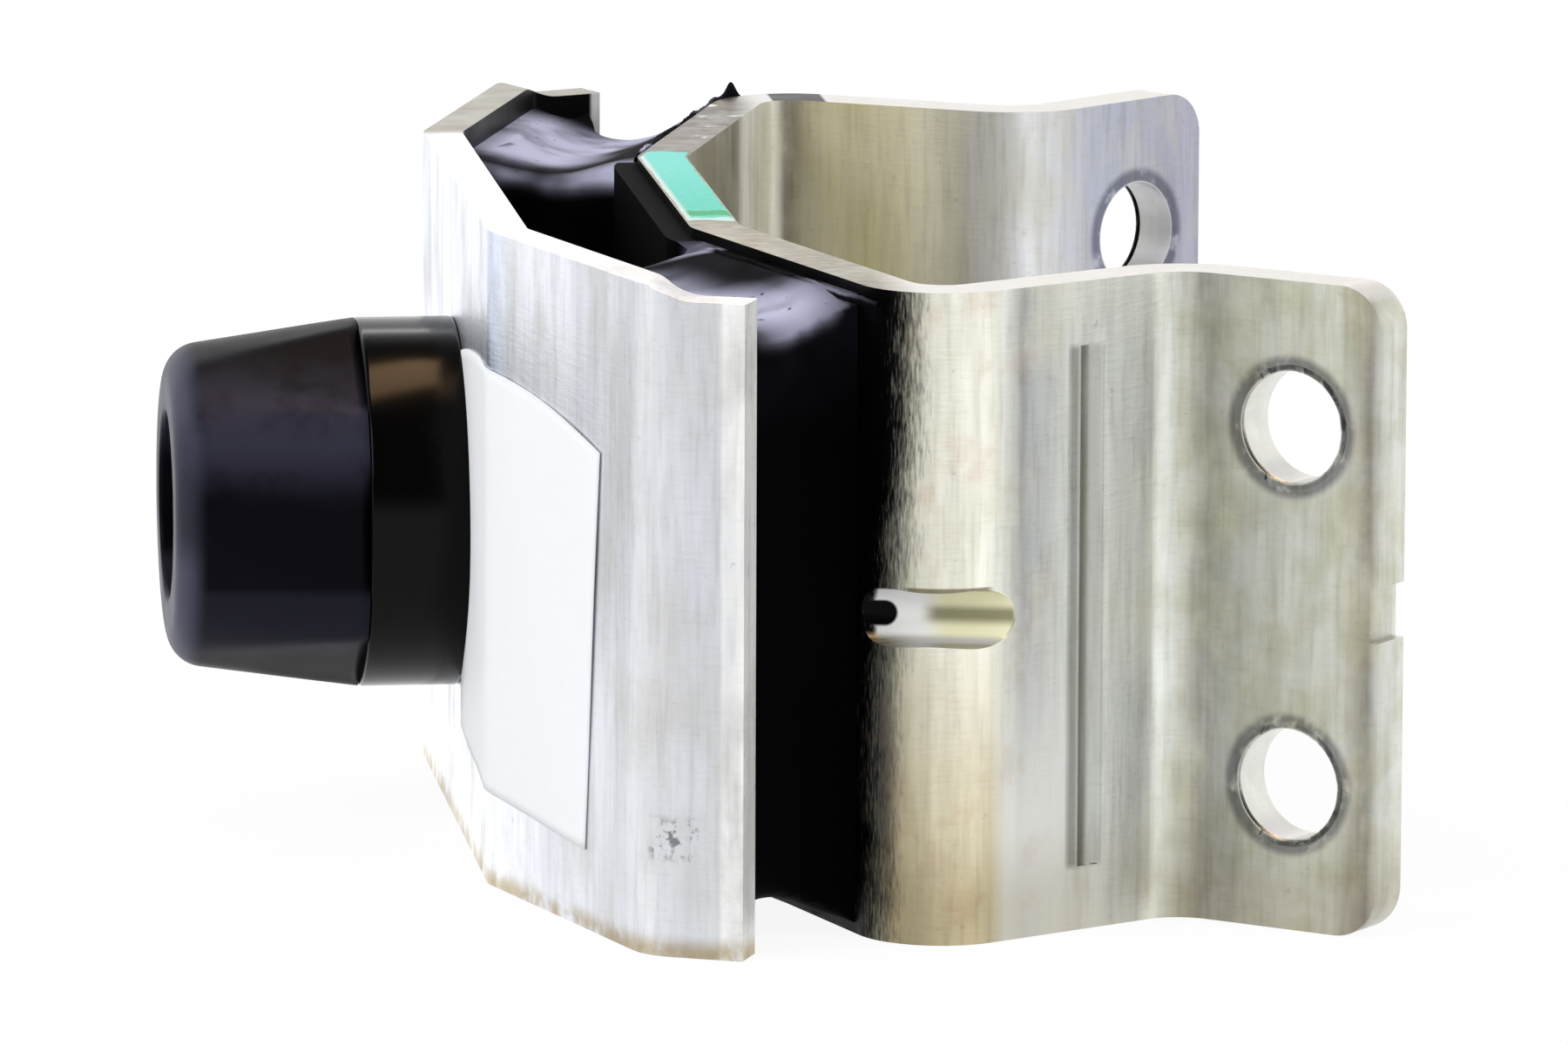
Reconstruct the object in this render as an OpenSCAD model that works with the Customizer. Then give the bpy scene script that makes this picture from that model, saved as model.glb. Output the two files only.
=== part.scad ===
// Transmission mount: two folded steel brackets with a bonded rubber spring between them.
// X runs along the locating spigot towards the bolting ears, Y across the mount, Z up the folds.
// The origin is where the spigot's axis meets the outer face of the outer bracket's web.

/* [Outer bracket] */
// Thickness of the outer bracket's sheet
outer_t = 4; // [3:0.5:5]
// Height of the outer bracket, along its folds
outer_h = 65; // [60:1:80]
// Width of the outer web between its sharp corners
outer_web_w = 66.8; // [64:0.2:70]
// Length of each outer leg between its sharp corners
outer_leg_l = 37.2; // [35:0.1:39]
// Length of each end lip, from its sharp corner to its end
lip_l = 9.9; // [9:0.1:12]
// Angle of the end lips from the spigot's axis
lip_angle = 24; // [15:1:35]
// How far the lips' top edge lies below the legs' top edge
lip_drop = 1.4; // [0.6:0.1:3]
// Radius of the outer bracket's bends, on its outer face
outer_bend_r = 6; // [5.5:0.5:8]

/* [Inner bracket] */
// Thickness of the inner bracket's sheet
inner_t = 5; // [4:0.5:5.5]
// Height of the inner bracket, along its folds
inner_h = 63.5; // [60:0.5:65]
// Width of the inner web between its sharp corners
inner_web_w = 47.6; // [45:0.2:50]
// Length of each inner leg between its sharp corners
inner_leg_l = 50; // [47:0.2:53]
// Length of each throat side, from the widest fold to the waist
throat_l = 32.8; // [30:0.1:35]
// Length of each bolting ear, from the waist to its end
ear_l = 22.2; // [20:0.1:26]
// Angle at which the throat sides draw in from the spigot's axis
throat_angle = 29.5; // [25:0.5:32]
// Angle at which the ears open out from the spigot's axis
ear_angle = 39; // [32:1:45]
// Radius of the web's bends, on the outer face
inner_corner_r = 7; // [6:0.5:9]
// Radius of the widest bend, on the outer face
shoulder_r = 8.5; // [7.5:0.5:10]
// Radius of the waist's bend, on the outer face
waist_r = 5; // [3:0.5:7]

/* [Bolting ears] */
// Diameter of the bolt holes
ear_hole_d = 11; // [9:0.5:12]
// Distance between the two holes of an ear
ear_hole_pitch = 35; // [30:0.5:38]
// Distance of the holes from the ear's end
ear_hole_edge = 9.8; // [8.5:0.1:11]
// Radius of the ears' corners
ear_corner_r = 4.5; // [3:0.5:7]
// Depth of the rolled-in edge that the punch leaves at a hole
punch_roll = 0.6; // [0.3:0.1:1]
// Height of the notch in the ear's end
notch_h = 5.4; // [4:0.2:8]
// Depth of the notch in the ear's end
notch_depth = 0.9; // [0.5:0.1:1.5]

/* [Pressed details] */
// Length of the stiffening dart across the widest bend
dart_l = 14.4; // [10:0.2:16]
// Turn of the dart from the middle of the bend towards the throat side
dart_turn = 8; // [0:1:12]
// Width of the dart
dart_w = 5.2; // [4.4:0.2:6.4]
// Height of the pressed groove on the throat side
groove_h = 51; // [40:1:56]
// Radius of the groove's section
groove_r = 2.4; // [2:0.1:3]
// Depth of the groove
groove_depth = 0.45; // [0.3:0.05:0.6]
// Distance of the groove from the waist
groove_inset = 10.8; // [8:0.2:12]

/* [Rubber spring] */
// Clear gap between the two webs
web_gap = 17; // [15:0.5:19]
// Angle of both pairs of legs from the spigot's axis
leg_angle = 72; // [68:1:75]
// How far the rubber stops short of the brackets' edges
rubber_inset = 1; // [0.5:0.1:2]
// Depth of the hollow in the rubber's top and bottom, beside the void
scoop_depth = 1.6; // [1:0.2:2.6]
// Depth of that hollow at the outer bracket's lips
scoop_end_depth = 2.8; // [2.6:0.2:4]
// Depth of the hollow in the rubber's outer ends
end_hollow = 6; // [3:0.2:7]
// Thickness of the rubber that stays before the lips' inner faces
lip_skin_t = 1.4; // [1:0.1:2]
// Depth of the hollow in the rubber's faces towards the void
void_hollow = 3; // [2:0.2:4]
// Width of the void between the two rubber blocks, at the outer web
void_w = 60; // [56:1:62]
// Thickness of the rubber skin on the inner web
skin_t = 2.4; // [1.5:0.1:3.5]
// How far the skin runs round the web's bends onto the legs
skin_wrap = 6; // [4:0.5:8]
// Width of the level strip between the deep end of those hollows and the legs
hollow_land = 1.6; // [1:0.1:2.5]

/* [Spigot and cone] */
// Diameter of the spigot's collar
collar_d = 37; // [33:0.5:39]
// Length of the collar
collar_l = 10; // [8:0.5:14]
// Length of the cone in front of the collar
cone_l = 19; // [16:0.1:24]
// Diameter of the cone where its tip edge starts to round
cone_tip_d = 32.6; // [30:0.2:34]
// Radius of the rounded tip edge
tip_round = 3.6; // [2:0.1:5]
// Diameter of the cone's mouth
mouth_d = 18.8; // [16:0.2:20]
// Depth of the cone's mouth
mouth_depth = 4; // [3:0.5:6]
// Number of flats round the cone
flat_count = 6; // [5:1:8]
// Distance of a flat from the axis, at the collar
flat_base_r = 17.2; // [16.8:0.1:17.8]
// Distance of a flat from the axis, at the tip
flat_tip_r = 16; // [15.4:0.1:16.4]
// Turn of the flats round the axis
flat_turn = 0; // [0:1:59]
// Diameter of the post inside the cone
post_d = 22; // [21:0.5:24]
// Diameter of the threaded hole in the post
thread_d = 10.2; // [8:0.1:12]
// Depth of the threaded hole
thread_depth = 22; // [16:1:24]
// Diameter of the shank that passes through the web
shank_d = 20; // [16:0.5:24]
// Diameter of the staked head behind the web
stake_d = 25; // [24:0.5:30]
// Height of the staked head
stake_h = 3; // [2:0.5:4]

/* [Hidden] */
$fn = 96;

// How far a cut runs past the face that it opens
past = 1;
// Largest turn between two points along a bend, in degrees
bend_step = 4;
// Both brackets stand flush on this level
base_z = -outer_h / 2;
// Outer face of the inner web
inner_x = outer_t + web_gap;
inner_mid_z = base_z + inner_h / 2;

// Corner of a fold chain: from point p, a stretch l long at angle a
function step_from(p, l, a) = p + l * [cos(a), sin(a)];
// How much of a stretch a bend of radius r and turn a takes up
function bend_take(r, a) = r * tan(abs(a) / 2);

// Turns at the folds, positive where the sheet turns in towards the axis
web_turn = 90 - leg_angle;
lip_turn = leg_angle - lip_angle;
shoulder_turn = leg_angle + throat_angle;
waist_turn = -(throat_angle + ear_angle);

// Sharp corners of the outer faces on the +Y side
outer_corner = [0, outer_web_w / 2];
lip_corner = step_from(outer_corner, outer_leg_l, leg_angle);
lip_end = step_from(lip_corner, lip_l, lip_angle);
inner_corner = [inner_x, inner_web_w / 2];
shoulder_corner = step_from(inner_corner, inner_leg_l, leg_angle);
waist_corner = step_from(shoulder_corner, throat_l, -throat_angle);
ear_end = step_from(waist_corner, ear_l, ear_angle);

// Folds of each half bracket as [flat before the bend, turn, outer face radius]
outer_folds = [
    [0, web_turn, outer_bend_r],
    [
        outer_leg_l - bend_take(outer_bend_r, web_turn) - bend_take(outer_bend_r, lip_turn),
        lip_turn,
        outer_bend_r
    ],
    [lip_l - bend_take(outer_bend_r, lip_turn), 0, 0]
];
inner_folds = [
    [0, web_turn, inner_corner_r],
    [
        inner_leg_l - bend_take(inner_corner_r, web_turn) - bend_take(shoulder_r, shoulder_turn),
        shoulder_turn,
        shoulder_r
    ],
    [
        throat_l - bend_take(shoulder_r, shoulder_turn) - bend_take(waist_r, waist_turn),
        waist_turn,
        waist_r
    ],
    [ear_l - bend_take(waist_r, waist_turn), 0, 0]
];

// The dart is pressed across the bend by a round tool
shoulder_take = bend_take(shoulder_r, shoulder_turn);
shoulder_arc_start = step_from(inner_corner, inner_leg_l - shoulder_take, leg_angle);
shoulder_centre = shoulder_arc_start + shoulder_r * [sin(leg_angle), -cos(leg_angle)];
dart_depth = shoulder_r - sqrt(pow(shoulder_r, 2) - pow(dart_l / 2, 2));
dart_r = (pow(dart_w / 2, 2) + pow(dart_depth, 2)) / (2 * dart_depth);
dart_mid_angle = (leg_angle - throat_angle) / 2 - dart_turn;
// Thickness that the sheet loses where the dart stretches it
dart_thinning = 0.9;

// Rubber: chord of the hollows between the two legs
leg_normal = [sin(leg_angle), -cos(leg_angle)];
rubber_t = (inner_corner - outer_corner) * leg_normal - outer_t;
scoop_half = rubber_t / 2 - hollow_land;
scoop_r = (pow(scoop_half, 2) + pow(scoop_end_depth, 2)) / (2 * scoop_end_depth);
scoop_fall = atan2(scoop_end_depth - scoop_depth, outer_leg_l);
skin_folds = [inner_folds[0], [skin_wrap, 0, 0]];

cone_tip_x = -collar_l - cone_l;
collar_r = collar_d / 2;
mouth_r = mouth_d / 2;
post_r = post_d / 2;
post_end_x = cone_tip_x + mouth_depth;

// Unit vector to the right of heading a
function right_of(a) = [sin(a), -cos(a)];
// A list of points mirrored to the other side, and one run backwards
function mirrored(points) = [for (p = points) [p[0], -p[1]]];
function reversed(points) = [for (i = [len(points) - 1:-1:0]) points[i]];

// Points of a folded sheet's face, d inside its outer face, from point p at heading a
function face_points(folds, d, p, a = 90, i = 0) =
    let (
        turn = folds[i][1],
        r = folds[i][2],
        side = sign(turn),
        bend_start = step_from(p, folds[i][0], a),
        centre = bend_start + side * r * right_of(a),
        steps = ceil(abs(turn) / bend_step),
        own = turn == 0
            ? [bend_start + d * right_of(a)]
            : [for (k = [0:steps]) centre - (side * r - d) * right_of(a - turn * k / steps)]
    )
    i == len(folds) - 1
        ? own
        : concat(own, face_points(folds, d, centre - side * r * right_of(a - turn), a - turn, i + 1));

// Closed outline of a symmetric sheet between depths d1 and d2 under its outer face
function sheet_outline(web_x, web_w, folds, d1, d2) =
    let (
        start = [web_x, web_w / 2 - bend_take(folds[0][2], folds[0][1])],
        outside = face_points(folds, d1, start),
        inside = face_points(folds, d2, start)
    )
    concat(reversed(mirrored(outside)), outside, reversed(inside), mirrored(inside));

// Plan outline of each bracket
module outer_section() {
    polygon(sheet_outline(0, outer_web_w, outer_folds, 0, outer_t));
}

module inner_section() {
    polygon(sheet_outline(inner_x, inner_web_w, inner_folds, 0, inner_t));
}

// Places children on both sides of the symmetry plane
module both_sides() {
    for (m = [0, 1]) mirror([0, m, 0]) children();
}

// Frame of an ear: X to its end along its outer face, Y out of that face
module at_ear() {
    translate([ear_end[0], ear_end[1], inner_mid_z]) rotate(ear_angle) children();
}

// A bolt hole with its rolled-in edge, along Y through the sheet
module punched_hole() {
    hole_r = ear_hole_d / 2;
    rotate([90, 0, 0]) translate([0, 0, -past]) cylinder(r = hole_r, h = inner_t + 2 * past);
    rotate([90, 0, 0]) cylinder(r1 = hole_r + punch_roll, r2 = hole_r, h = punch_roll);
}

// What is cut away outside a rounded corner at [0, 0], for an edge that ends at x = 0 and z = 0
module corner_cut(r) {
    rotate([90, 0, 0]) translate([-r, -r, -past]) difference() {
        cube([r + past, r + past, inner_t + 2 * past]);
        translate([0, 0, -past]) cylinder(r = r, h = inner_t + 4 * past);
    }
}

// All that is cut from one ear
module ear_cuts() {
    at_ear() {
        for (s = [-1, 1]) translate([-ear_hole_edge, 0, s * ear_hole_pitch / 2]) punched_hole();
        translate([0, 0, inner_h / 2]) corner_cut(ear_corner_r);
        mirror([0, 0, 1]) translate([0, 0, inner_h / 2]) corner_cut(ear_corner_r);
        translate([-notch_depth, -inner_t - past, -notch_h / 2])
            cube([notch_depth + past, inner_t + 2 * past, notch_h]);
    }
}

// Frame on the outside of the widest bend, at the middle of its turn, with Y out of the sheet
module at_shoulder() {
    translate([shoulder_centre[0], shoulder_centre[1], inner_mid_z])
        rotate(dart_mid_angle) translate([0, shoulder_r, 0]) children();
}

// Round bar of radius r along the dart, sunk so that it cuts the bend's crown to the dart's depth
module dart_bar(r) {
    translate([0, dart_r - dart_depth, 0]) rotate([0, 90, 0])
        translate([0, 0, -shoulder_r]) cylinder(r = r, h = 2 * shoulder_r);
}

// Metal that the dart pushes through to the inside of the bend
module dart_bulge() {
    at_shoulder() intersection() {
        dart_bar(dart_r + inner_t - dart_thinning);
        translate([-dart_l / 2, -dart_depth - inner_t, -dart_w])
            cube([dart_l, inner_t, 2 * dart_w]);
    }
}

// Shallow upright groove on the throat side
module groove_cut() {
    translate([waist_corner[0], waist_corner[1], inner_mid_z]) rotate(-throat_angle)
        translate([-groove_inset, groove_r - groove_depth, -groove_h / 2])
            cylinder(r = groove_r, h = groove_h);
}

// What is cut off the top of a lip, from the end of its bend
module lip_cut() {
    translate([lip_end[0], lip_end[1], base_z + outer_h - lip_drop]) rotate(lip_angle)
        translate([-lip_l + bend_take(outer_bend_r, lip_turn), -outer_t - past, 0])
            cube([lip_l, outer_t + 2 * past, lip_drop + past]);
}

module outer_bracket() {
    color("lightsteelblue") difference() {
        translate([0, 0, base_z]) linear_extrude(outer_h) outer_section();
        rotate([0, 90, 0]) translate([0, 0, -past])
            cylinder(d = shank_d, h = outer_t + 2 * past);
        both_sides() lip_cut();
    }
}

module inner_bracket() {
    color([0.75, 0.73, 0.64]) difference() {
        union() {
            translate([0, 0, base_z]) linear_extrude(inner_h) inner_section();
            both_sides() dart_bulge();
        }
        both_sides() {
            ear_cuts();
            at_shoulder() dart_bar(dart_r);
            groove_cut();
        }
    }
}

// Outline of one rubber block, drawn into the brackets' thickness and cut back to their faces
module block_section() {
    lip_stop = lip_end - rubber_inset * [cos(lip_angle), sin(lip_angle)];
    lip_in = lip_stop - outer_t / 2 * [-sin(lip_angle), cos(lip_angle)];
    lip_tip = lip_stop - (outer_t + lip_skin_t / 2) * [-sin(lip_angle), cos(lip_angle)];
    web_start = [outer_t / 2, void_w / 2];
    leg_mid = lip_corner + outer_t / 2 * leg_normal;
    web_mid = outer_corner + [outer_t / 2, 0];
    shoulder_mid = shoulder_centre + (shoulder_r - inner_t / 2) * [0, 1];
    inner_leg_mid = shoulder_arc_start + inner_t / 2 * leg_normal;
    inner_web_mid = inner_corner + [inner_t / 2, 0];
    skin_start = [inner_x + inner_t / 2, void_w / 2 - inner_t];
    difference() {
        polygon([
            web_start, web_mid, leg_mid, lip_in, lip_tip,
            shoulder_mid, inner_leg_mid, inner_web_mid, skin_start
        ]);
        outer_section();
        inner_section();
        chord_hollow(lip_tip, shoulder_mid, end_hollow);
        chord_hollow(skin_start, web_start, void_hollow);
    }
}

// A circle that hollows the edge from p to q, which lies to the left of the rubber, by depth
module chord_hollow(p, q, depth) {
    chord = norm(q - p);
    r = (pow(chord / 2, 2) + pow(depth, 2)) / (2 * depth);
    away = [-(q - p)[1], (q - p)[0]] / chord;
    translate((p + q) / 2 + (r - depth) * away) circle(r);
}

// Round hollow along the rubber's top and bottom, midway between the two legs, that leaves
// a skin before the lip and deepens towards it
module scoop(z, up) {
    mid = (outer_corner + inner_corner) / 2 + outer_t / 2 * leg_normal;
    difference() {
        translate([mid[0], mid[1], z + up * (scoop_r - scoop_depth)]) rotate(leg_angle)
            rotate([0, 90 + up * scoop_fall, 0]) translate([0, 0, -outer_web_w / 2])
                cylinder(r = scoop_r, h = 2 * outer_web_w);
        translate([lip_end[0], lip_end[1], base_z]) rotate(lip_angle)
            translate([-2 * lip_l, -outer_t - lip_skin_t, 0])
                cube([3 * lip_l, outer_t + lip_skin_t, inner_h]);
    }
}

// Rubber skin over the inner web, wrapped round its bends
module skin_section() {
    difference() {
        polygon(sheet_outline(inner_x, inner_web_w, skin_folds, -skin_t, inner_t / 2));
        inner_section();
    }
}

module rubber_spring() {
    rubber_h = inner_h - 2 * rubber_inset;
    color([0.13, 0.13, 0.15]) {
        difference() {
            translate([0, 0, base_z + rubber_inset]) linear_extrude(rubber_h)
                for (m = [0, 1]) mirror([0, m]) block_section();
            both_sides() {
                scoop(base_z + inner_h - rubber_inset, 1);
                scoop(base_z + rubber_inset, -1);
            }
        }
        translate([0, 0, base_z + rubber_inset]) linear_extrude(rubber_h) skin_section();
    }
}

// Spigot: collar in front of the web, post inside the cone, shank and staked head behind
module locating_spigot() {
    color([0.09, 0.08, 0.08]) rotate([0, -90, 0]) difference() {
        union() {
            cylinder(r = collar_r, h = collar_l);
            cylinder(r = post_r, h = -post_end_x);
            translate([0, 0, -outer_t]) cylinder(d = shank_d, h = outer_t);
            translate([0, 0, -outer_t - stake_h]) cylinder(d1 = shank_d, d2 = stake_d, h = stake_h);
        }
        translate([0, 0, -post_end_x - thread_depth])
            cylinder(d = thread_d, h = thread_depth + past);
    }
}

// One flat of the cone: the slab outside a plane that leans in towards the tip
module flat_cut() {
    lean = atan2(flat_base_r - flat_tip_r, cone_l);
    translate([-collar_l, 0, flat_base_r]) rotate([0, -lean, 0])
        translate([-2 * cone_l, -collar_r, 0]) cube([2 * cone_l + past, collar_d, collar_d]);
}

// Half profile of the cone, radius along X and distance from the web along Y
module cone_profile() {
    tip_y = -cone_tip_x;
    side_angle = atan2(collar_r - cone_tip_d / 2, cone_l - tip_round);
    sharp_r = collar_r - cone_l * tan(side_angle);
    round_y = tip_y - tip_round;
    round_x = collar_r - (round_y - collar_l) * tan(side_angle) - tip_round / cos(side_angle);
    difference() {
        polygon([[mouth_r, collar_l], [collar_r, collar_l], [sharp_r, tip_y], [mouth_r, tip_y]]);
        square([post_r, -post_end_x]);
        difference() {
            polygon([
                [round_x, round_y],
                [round_x, round_y] + 2 * tip_round * [cos(side_angle), sin(side_angle)],
                [round_x, round_y] + 3 * tip_round * [1, 1],
                [round_x, round_y + 2 * tip_round]
            ]);
            translate([round_x, round_y]) circle(tip_round);
        }
    }
}

module nose_cone() {
    color([0.16, 0.16, 0.17]) difference() {
        rotate([0, -90, 0]) rotate_extrude() cone_profile();
        for (k = [0:flat_count - 1])
            rotate([90 - flat_turn + k * 360 / flat_count, 0, 0]) flat_cut();
    }
}

outer_bracket();
inner_bracket();
rubber_spring();
locating_spigot();
nose_cone();
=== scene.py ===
import math
from types import SimpleNamespace

import bmesh
import bpy
import numpy as np
from mathutils import Matrix, Vector


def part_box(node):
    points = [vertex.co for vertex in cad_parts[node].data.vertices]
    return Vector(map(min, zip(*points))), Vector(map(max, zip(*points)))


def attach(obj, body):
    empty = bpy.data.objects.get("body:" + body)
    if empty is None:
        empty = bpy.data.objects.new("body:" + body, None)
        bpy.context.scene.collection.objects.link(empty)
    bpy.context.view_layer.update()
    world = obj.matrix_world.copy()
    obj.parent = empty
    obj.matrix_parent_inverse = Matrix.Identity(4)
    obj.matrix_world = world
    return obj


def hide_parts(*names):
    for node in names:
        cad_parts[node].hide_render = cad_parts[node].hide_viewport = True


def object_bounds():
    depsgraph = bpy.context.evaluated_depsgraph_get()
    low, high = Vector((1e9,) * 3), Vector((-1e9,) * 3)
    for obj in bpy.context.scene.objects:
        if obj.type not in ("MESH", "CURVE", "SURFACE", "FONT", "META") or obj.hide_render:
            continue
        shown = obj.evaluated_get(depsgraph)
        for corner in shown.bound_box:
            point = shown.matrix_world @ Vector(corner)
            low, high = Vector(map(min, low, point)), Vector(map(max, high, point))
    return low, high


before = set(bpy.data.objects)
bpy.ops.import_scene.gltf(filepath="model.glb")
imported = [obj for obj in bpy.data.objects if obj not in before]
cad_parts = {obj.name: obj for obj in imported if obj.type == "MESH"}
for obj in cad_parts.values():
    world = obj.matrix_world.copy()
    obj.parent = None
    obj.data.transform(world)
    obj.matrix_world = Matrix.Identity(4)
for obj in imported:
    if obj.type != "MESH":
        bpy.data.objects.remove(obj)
cad_low, cad_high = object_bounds()

MM = 0.001

# Both brackets stand flush on the floor; X runs along the spigot, Z up the folds
FLOOR_Z = cad_low[2]
OUTER_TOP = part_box("outer_bracket")[1][2]
INNER_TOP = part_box("inner_bracket")[1][2]
INNER_MID_Z = (FLOOR_Z + INNER_TOP) / 2

# Outer bracket: half its web, its leg and lip, and the outer radius of its bends
OUTER_T = 4 * MM
OUTER_HALF_WEB = 33.4 * MM
OUTER_LEG = 37.2 * MM
LIP = 9.9 * MM
OUTER_BEND_R = 6 * MM
LEG_ANGLE = 72
LIP_ANGLE = 24
LIP_DROP = 1.4 * MM

# Where the rolled corner between leg and lip starts and ends, from the start of the lip
ROLL_BEFORE = 3.6 * MM
ROLL_AFTER = 2 * MM

# Where the spring's rims lie, as sizes of Y, and how often their corners are smoothed
VOID_RIM = (26.5 * MM, 38 * MM)
LIP_RIM = (56 * MM, 69 * MM)
ROUNDS = 30

# Inner bracket, outer face: sharp corners, bend radii and the angles of its stretches
INNER_X = 21 * MM
INNER_HALF_WEB = 23.8 * MM
INNER_LEG = 50 * MM
THROAT = 32.8 * MM
EAR = 22.2 * MM
INNER_CORNER_R = 7 * MM
SHOULDER_R = 8.5 * MM
WAIST_R = 5 * MM
THROAT_ANGLE = -29.5
EAR_ANGLE = 39

# Bolt holes of an ear: radius, spacing along Z and distance from the ear's end
HOLE_R = 5.5 * MM
HOLE_PITCH = 35 * MM
HOLE_EDGE = 9.8 * MM

# Spigot and cone, distances counted from the web along -X
COLLAR_R = 18.5 * MM
COLLAR_L = 10 * MM
CONE_L = 19 * MM
TIP = COLLAR_L + CONE_L
CONE_TIP_R = 16.3 * MM
TIP_ROUND = 3.6 * MM
MOUTH_R = 9.4 * MM
MOUTH_DEPTH = 4 * MM
POST_R = 11 * MM
THREAD_R = 5.1 * MM
THREAD_DEPTH = 22 * MM
SHANK_R = 10 * MM
STAKE_R = 12.5 * MM
STAKE_H = 3 * MM
FLATS = 6
FLAT_BASE_R = 17.2 * MM
FLAT_TIP_R = 16 * MM

# Dart of a shoulder bend: half its width, where it starts and where its round end is centred.
# The black notch at its mouth: where its round end is centred, and the radius of that end
DART_HALF = 2.6 * MM
DART_START = 34.2 * MM
DART_END = 45 * MM
NOTCH_END = 35.4 * MM
NOTCH_R = 1.1 * MM

# Upright groove of a leg: its front corner and half its length
GROOVE_X = 53.3 * MM
GROOVE_HALF = 25 * MM

# Rounding of the brackets' edges, and the turn from which an edge counts as sharp
SOFT_EDGE = 0.45 * MM
SHARP_ANGLE = 32

# Bonding primer, as sRGB hex
BLACK_PRIMER = "020203"

# How bright things look, against 1 for white in the picture: the lit backdrop and table in the
# metal, the photographer's room there, the table itself, and the backdrop's light on dull faces
MIRRORED_WHITE = 1.45
MIRRORED_ROOM = 0.12
TABLE_WHITE = 1.06
BACKDROP_LIGHT = 0.55

# How much of the table's look is that glow, and how much is the shaded table
TABLE_GLOW = 0.86


def linear(text):
    """Linear colour of an sRGB hex value such as c8c4b4, with alpha 1."""
    parts = [int(text[i:i + 2], 16) / 255 for i in (0, 2, 4)]
    return (*(c / 12.92 if c <= 0.04045 else ((c + 0.055) / 1.055) ** 2.4 for c in parts), 1)


def add(tree, kind, links=None, out=0, stops=None, **settings):
    """Adds one node and returns its output, if it has any. links maps an input's name or number
    to a value or to another node's output, and stops are the (place, colour) pairs of a colour
    ramp."""
    made = tree.nodes.new("ShaderNode" + kind)
    for name, value in settings.items():
        setattr(made, name, value)
    if stops:
        ramp = made.color_ramp.elements
        while len(ramp) < len(stops):
            ramp.new(1)
        for point, (place, colour) in zip(ramp, stops):
            point.position = place
            point.color = colour
    for name, value in (links or {}).items():
        if isinstance(value, bpy.types.NodeSocket):
            tree.links.new(value, made.inputs[name])
        else:
            made.inputs[name].default_value = value
    return made.outputs[out] if made.outputs else None


def new_material(name):
    """An empty material and its node tree."""
    made = bpy.data.materials.new(name)
    made.use_nodes = True
    made.node_tree.nodes.clear()
    return made, made.node_tree


def finish_material(tree, surface):
    """Joins a shader to the material's output."""
    add(tree, "OutputMaterial", {0: surface})


def between(tree, value, low, high):
    """0 below low, 1 above high, smooth between. With low above high it falls instead."""
    return add(tree, "MapRange", {0: value, 1: low, 2: high, 3: 0.0, 4: 1.0},
               interpolation_type="SMOOTHSTEP", clamp=True)


def noise(tree, coords, period, detail=3.0, rough=0.55, stretch=(1, 1, 1), turn=(0, 0, 0)):
    """Noise whose lumps are about period across, in metres, drawn out along an axis by a
    stretch above 1 there."""
    placed = add(tree, "Mapping", {"Vector": coords, "Rotation": turn,
                                   "Scale": tuple(1 / s for s in stretch)})
    return add(tree, "TexNoise", {"Vector": placed, "Scale": 1 / period, "Detail": detail,
                                  "Roughness": rough})


def tinted(tree, mask, under, over):
    """Colour over laid on colour under where the mask is 1."""
    return add(tree, "Mix", {0: mask, 6: under, 7: over}, out=2, data_type="RGBA")


def times(tree, first, *others):
    """Product of masks."""
    for other in others:
        first = add(tree, "Math", {0: first, 1: other}, operation="MULTIPLY")
    return first


def either(tree, first, *others):
    """Greatest of masks."""
    for other in others:
        first = add(tree, "Math", {0: first, 1: other}, operation="MAXIMUM")
    return first


def inverse(tree, mask):
    """1 where the mask is 0 and 0 where it is 1."""
    return add(tree, "Math", {0: 1.0, 1: mask}, operation="SUBTRACT")


def band(tree, value, start, end, soft):
    """1 from start to end, and 0 further than soft outside them."""
    return times(tree, between(tree, value, start - soft, start),
                 between(tree, value, end + soft, end))


def shaded(tree, mask, colour, shade):
    """Colour multiplied by the shade where the mask is 1."""
    return add(tree, "Mix", {0: mask, 6: colour, 7: shade}, out=2, data_type="RGBA",
               blend_type="MULTIPLY")


def zones(tree, x, stops):
    """Colour along X from stops of (millimetres, sRGB hex)."""
    low, high = stops[0][0], stops[-1][0]
    share = add(tree, "MapRange", {0: x, 1: low * MM, 2: high * MM})
    return add(tree, "ValToRGB", {0: share}, stops=[
        ((place - low) / (high - low), linear(text)) for place, text in stops])


def span(tree, first, second):
    """Distance of the point (first, second) from the origin of its plane."""
    pair = add(tree, "CombineXYZ", {0: first, 1: second})
    return add(tree, "VectorMath", {0: pair}, out=1, operation="LENGTH")


def surface_place(tree):
    """Where a face is and how it looks: object coordinates, their x, y and z, the size of y
    (wide), the height above or below the inner bracket's middle (rise), how far the face looks
    away from the symmetry plane (away: 1 on outer faces, 0 on inner ones) and upwards (up)."""
    coords = add(tree, "TexCoord", out="Object")
    x, y, z = add(tree, "SeparateXYZ", {0: coords}).node.outputs
    normal = add(tree, "TexCoord", out="Normal")
    looks = add(tree, "SeparateXYZ", {0: normal}).node.outputs
    level = add(tree, "Math", {0: z, 1: INNER_MID_Z}, operation="SUBTRACT")
    return SimpleNamespace(
        coords=coords, x=x, y=y, z=z, up=looks[2],
        wide=add(tree, "Math", {0: y}, operation="ABSOLUTE"),
        rise=add(tree, "Math", {0: level}, operation="ABSOLUTE"),
        away=between(tree, times(tree, y, looks[1]), -0.4 * MM, 0.4 * MM))


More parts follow.
